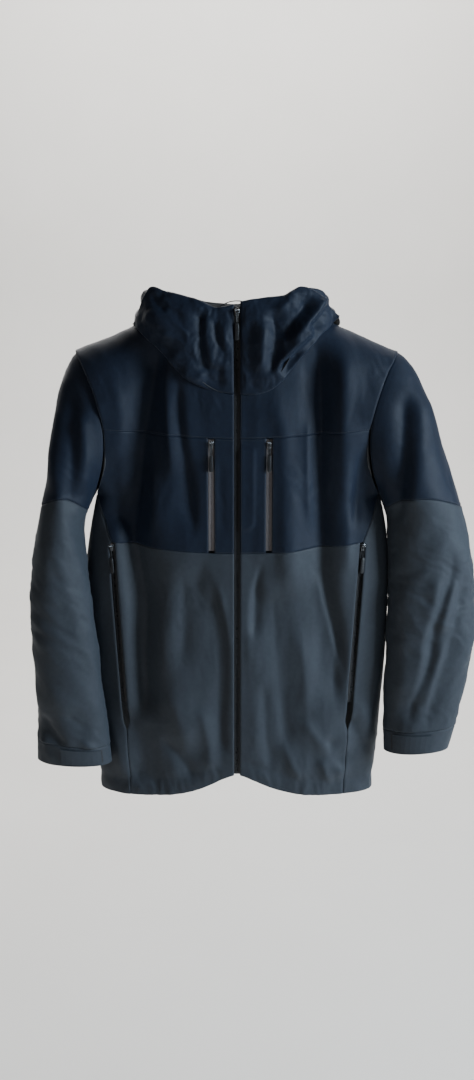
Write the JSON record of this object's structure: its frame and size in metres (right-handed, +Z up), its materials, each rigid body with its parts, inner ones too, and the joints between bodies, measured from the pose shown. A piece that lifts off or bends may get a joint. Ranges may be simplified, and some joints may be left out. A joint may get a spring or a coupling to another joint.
{
  "type": "hardshell jacket",
  "caption": "Hooded waterproof shell jacket with a full front zip, two chest pockets, two hand pockets and adjustable cuffs and hem, hanging from its loop.",
  "frame": {"origin": "underside of the hanger loop's top, at the inside back neck", "axes": "+Z up as the jacket hangs, +Y towards its back, +X towards the right of someone looking at its front"},
  "size_m": [0.6756, 0.2061, 0.7832],
  "materials": {
    "shell_navy": "matt laminated woven nylon",
    "shell_grey": "matt laminated woven nylon",
    "lining": "smooth knit lining",
    "brushed_lining": "brushed fleece facing",
    "loop_webbing": "woven tape",
    "elastic_cord": "braided cover over elastic",
    "moulded_plastic": "moulded",
    "spring_steel": "bright drawn wire",
    "zip_tape_black": "coated tape",
    "zip_coil": "polyester coil",
    "zip_tape_pale": "coated tape",
    "zip_metal": "black lacquered",
    "puller_grip": "soft moulded grip",
    "hook_patch": "moulded hooks",
    "tab_rubber": "moulded and textured"
  },
  "bodies": {
    "root": {"yoke_left": "shell_navy", "yoke_right": "shell_navy", "chest_centre_left": "shell_navy", "chest_centre_right": "shell_navy", "chest_left": "shell_navy", "chest_right": "shell_navy", "front_left": "shell_grey", "front_right": "shell_grey", "side_left": "shell_grey", "side_right": "shell_grey", "back_yoke": "shell_navy", "back_upper": "shell_navy", "back_lower": "shell_grey", "collar_left": "shell_navy", "collar_right": "shell_navy", "collar_back": "shell_navy", "chin_guard": "brushed_lining", "storm_flap": "lining", "hanger_loop": "loop_webbing", "hem_facing": "shell_grey", "hem_drawcord": "elastic_cord", "cord_locks": "moulded_plastic", "plunger_spring_left": "spring_steel", "plunger_spring_right": "spring_steel", "chest_pocket_left": "lining", "chest_pocket_right": "lining", "hand_pocket_left": "lining", "hand_pocket_right": "lining", "main_zip_tapes": "zip_tape_black", "main_zip_coils": "zip_coil", "chest_zip_left": "zip_tape_pale", "chest_zip_right": "zip_tape_pale", "hand_zip_left": "zip_tape_black", "hand_zip_right": "zip_tape_black"},
    "sleeve_left": {"sleeve_upper_left": "shell_navy", "sleeve_lower_left": "shell_grey", "cuff_left": "shell_grey", "cuff_patch_left": "hook_patch"},
    "sleeve_right": {"sleeve_upper_right": "shell_navy", "sleeve_lower_right": "shell_grey", "cuff_right": "shell_grey", "cuff_patch_right": "hook_patch"},
    "hood": {"hood_left": "shell_navy", "hood_right": "shell_navy", "hood_centre": "shell_navy", "hood_brim": "shell_navy"},
    "cuff_tab_left": {"cuff_tab_left": "tab_rubber"},
    "cuff_tab_right": {"cuff_tab_right": "tab_rubber"},
    "main_slider": {"main_slider": "zip_metal"},
    "chest_slider_left": {"chest_slider_left": "zip_metal"},
    "chest_slider_right": {"chest_slider_right": "zip_metal"},
    "hand_slider_left": {"hand_slider_left": "zip_metal"},
    "hand_slider_right": {"hand_slider_right": "zip_metal"},
    "main_puller": {"main_puller": "puller_grip"},
    "chest_puller_left": {"chest_puller_left": "puller_grip"},
    "chest_puller_right": {"chest_puller_right": "puller_grip"},
    "hand_puller_left": {"hand_puller_left": "puller_grip"},
    "hand_puller_right": {"hand_puller_right": "puller_grip"},
    "plunger_left": {"plunger_left": "moulded_plastic"},
    "plunger_right": {"plunger_right": "moulded_plastic"}
  },
  "joints": [
    {"name": "sleeve_left_lift", "type": "hinge", "parent": "root", "child": "sleeve_left", "pos_m": [-0.2397, -0.016, -0.072], "axis": [0, 1, 0], "range_deg": [0, 45]},
    {"name": "sleeve_right_lift", "type": "hinge", "parent": "root", "child": "sleeve_right", "pos_m": [0.2397, -0.016, -0.072], "axis": [0, -1, 0], "range_deg": [0, 45]},
    {"name": "hood_up", "type": "hinge", "parent": "root", "child": "hood", "pos_m": [0, 0.01, -0.01], "axis": [1, 0, 0], "range_deg": [0, 110]},
    {"name": "main_zip_run", "type": "slide", "parent": "root", "child": "main_slider", "axis": [0, 0, -1], "range_m": [0, 0.685]},
    {"name": "chest_zip_left_run", "type": "slide", "parent": "root", "child": "chest_slider_left", "axis": [0, 0, -1], "range_m": [0, 0.15]},
    {"name": "chest_zip_right_run", "type": "slide", "parent": "root", "child": "chest_slider_right", "axis": [0, 0, -1], "range_m": [0, 0.15]},
    {"name": "hand_zip_left_run", "type": "slide", "parent": "root", "child": "hand_slider_left", "axis": [0.0555, -0.0158, -0.9983], "range_m": [0, 0.236]},
    {"name": "hand_zip_right_run", "type": "slide", "parent": "root", "child": "hand_slider_right", "axis": [-0.0555, -0.0158, -0.9983], "range_m": [0, 0.236]},
    {"name": "main_puller_swing", "type": "hinge", "parent": "main_slider", "child": "main_puller", "pos_m": [0, -0.0745, -0.013], "axis": [-1, 0, 0], "range_deg": [0, 150]},
    {"name": "chest_puller_left_swing", "type": "hinge", "parent": "chest_slider_left", "child": "chest_puller_left", "pos_m": [-0.038, -0.07394, -0.202], "axis": [-1, 0, 0], "range_deg": [0, 150]},
    {"name": "chest_puller_right_swing", "type": "hinge", "parent": "chest_slider_right", "child": "chest_puller_right", "pos_m": [0.047, -0.07383, -0.202], "axis": [-1, 0, 0], "range_deg": [0, 150]},
    {"name": "hand_puller_left_swing", "type": "hinge", "parent": "hand_slider_left", "child": "hand_puller_left", "pos_m": [-0.19024, -0.0535, -0.359], "axis": [-0.9548, 0.2915, -0.0577], "range_deg": [0, 150]},
    {"name": "hand_puller_right_swing", "type": "hinge", "parent": "hand_slider_right", "child": "hand_puller_right", "pos_m": [0.19024, -0.0535, -0.359], "axis": [-0.9548, -0.2915, 0.0577], "range_deg": [0, 150]},
    {"name": "cuff_tab_right_lift", "type": "hinge", "parent": "sleeve_right", "child": "cuff_tab_right", "pos_m": [0.29741, -0.07672, -0.66459], "axis": [0.1292, 0.0183, 0.9915], "range_deg": [0, 120]},
    {"name": "cuff_tab_left_lift", "type": "hinge", "parent": "sleeve_left", "child": "cuff_tab_left", "pos_m": [-0.26789, -0.09605, -0.67788], "axis": [-0.0116, 0.0623, -0.998], "range_deg": [0, 120]},
    {"name": "plunger_left_press", "type": "slide", "parent": "root", "child": "plunger_left", "axis": [0, 0, 1], "range_m": [0, 0.003], "stiffness_N_per_m": 400, "springref_m": -0.003, "deforming": ["plunger_spring_left"]},
    {"name": "plunger_right_press", "type": "slide", "parent": "root", "child": "plunger_right", "axis": [0, 0, 1], "range_m": [0, 0.003], "stiffness_N_per_m": 400, "springref_m": -0.003, "deforming": ["plunger_spring_right"]}
  ]
}
